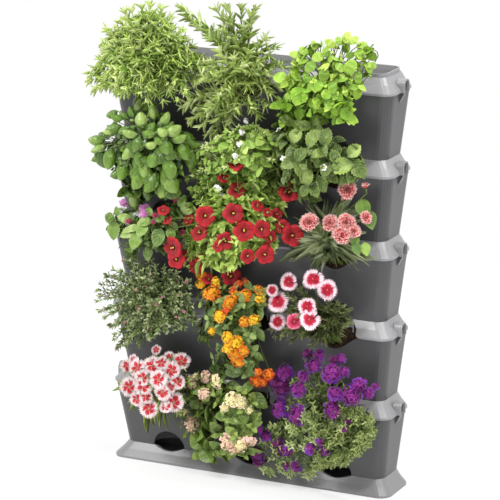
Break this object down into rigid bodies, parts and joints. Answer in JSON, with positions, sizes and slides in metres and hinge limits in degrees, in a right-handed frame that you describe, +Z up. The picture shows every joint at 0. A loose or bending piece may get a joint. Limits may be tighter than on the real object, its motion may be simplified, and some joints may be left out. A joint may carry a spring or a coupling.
{
  "type": "tiered planter",
  "caption": "Tall stack of grey plastic planter boxes on a water tray, each with a collar lid whose front openings let herbs and flowers lean out.",
  "frame": {"origin": "on the floor, under the middle of the tray", "axes": "+Z up, -Y towards the front where the plants lean out, +X to the right as seen from the front"},
  "size_m": [0.658, 0.224, 1.005],
  "materials": {
    "tray_plastic": "satin",
    "box_plastic": "satin",
    "lid_plastic": "satin",
    "soil": "matte",
    "white_dianthus": "matte",
    "pastel_lantana": "matte",
    "purple_verbena": "matte",
    "cuphea": "matte",
    "orange_lantana": "matte",
    "pink_dianthus": "matte",
    "pink_geranium": "matte",
    "red_petunia": "matte",
    "carnation": "matte",
    "basil": "matte",
    "alyssum": "matte",
    "strawberry": "matte",
    "savory": "matte",
    "rosemary": "matte",
    "lemon_balm": "matte"
  },
  "bodies": {
    "base_tray": {"tray": "tray_plastic"},
    "tier_1": {"planter_1": "box_plastic", "soil_1": "soil", "white_dianthus": "white_dianthus", "pastel_lantana": "pastel_lantana", "purple_verbena": "purple_verbena"},
    "cover_1": {"lid_1": "lid_plastic"},
    "tier_2": {"planter_2": "box_plastic", "soil_2": "soil", "cuphea": "cuphea", "orange_lantana": "orange_lantana", "pink_dianthus": "pink_dianthus"},
    "cover_2": {"lid_2": "lid_plastic"},
    "tier_3": {"planter_3": "box_plastic", "soil_3": "soil", "pink_geranium": "pink_geranium", "red_petunia": "red_petunia", "carnation": "carnation"},
    "cover_3": {"lid_3": "lid_plastic"},
    "tier_4": {"planter_4": "box_plastic", "soil_4": "soil", "basil": "basil", "alyssum": "alyssum", "strawberry": "strawberry"},
    "cover_4": {"lid_4": "lid_plastic"},
    "tier_5": {"planter_5": "box_plastic", "soil_5": "soil", "savory": "savory", "rosemary": "rosemary", "lemon_balm": "lemon_balm"},
    "cover_5": {"lid_5": "lid_plastic"}
  },
  "joints": [
    {"name": "lift_tier_1", "type": "slide", "parent": "base_tray", "child": "tier_1", "axis": [0, 0, 1], "range_m": [0, 0.06]},
    {"name": "lift_lid_1", "type": "slide", "parent": "tier_1", "child": "cover_1", "axis": [0, 0, 1], "range_m": [0, 0.05]},
    {"name": "lift_tier_2", "type": "slide", "parent": "cover_1", "child": "tier_2", "axis": [0, 0, 1], "range_m": [0, 0.06]},
    {"name": "lift_lid_2", "type": "slide", "parent": "tier_2", "child": "cover_2", "axis": [0, 0, 1], "range_m": [0, 0.05]},
    {"name": "lift_tier_3", "type": "slide", "parent": "cover_2", "child": "tier_3", "axis": [0, 0, 1], "range_m": [0, 0.06]},
    {"name": "lift_lid_3", "type": "slide", "parent": "tier_3", "child": "cover_3", "axis": [0, 0, 1], "range_m": [0, 0.05]},
    {"name": "lift_tier_4", "type": "slide", "parent": "cover_3", "child": "tier_4", "axis": [0, 0, 1], "range_m": [0, 0.06]},
    {"name": "lift_lid_4", "type": "slide", "parent": "tier_4", "child": "cover_4", "axis": [0, 0, 1], "range_m": [0, 0.05]},
    {"name": "lift_tier_5", "type": "slide", "parent": "cover_4", "child": "tier_5", "axis": [0, 0, 1], "range_m": [0, 0.06]},
    {"name": "lift_lid_5", "type": "slide", "parent": "tier_5", "child": "cover_5", "axis": [0, 0, 1], "range_m": [0, 0.05]}
  ]
}
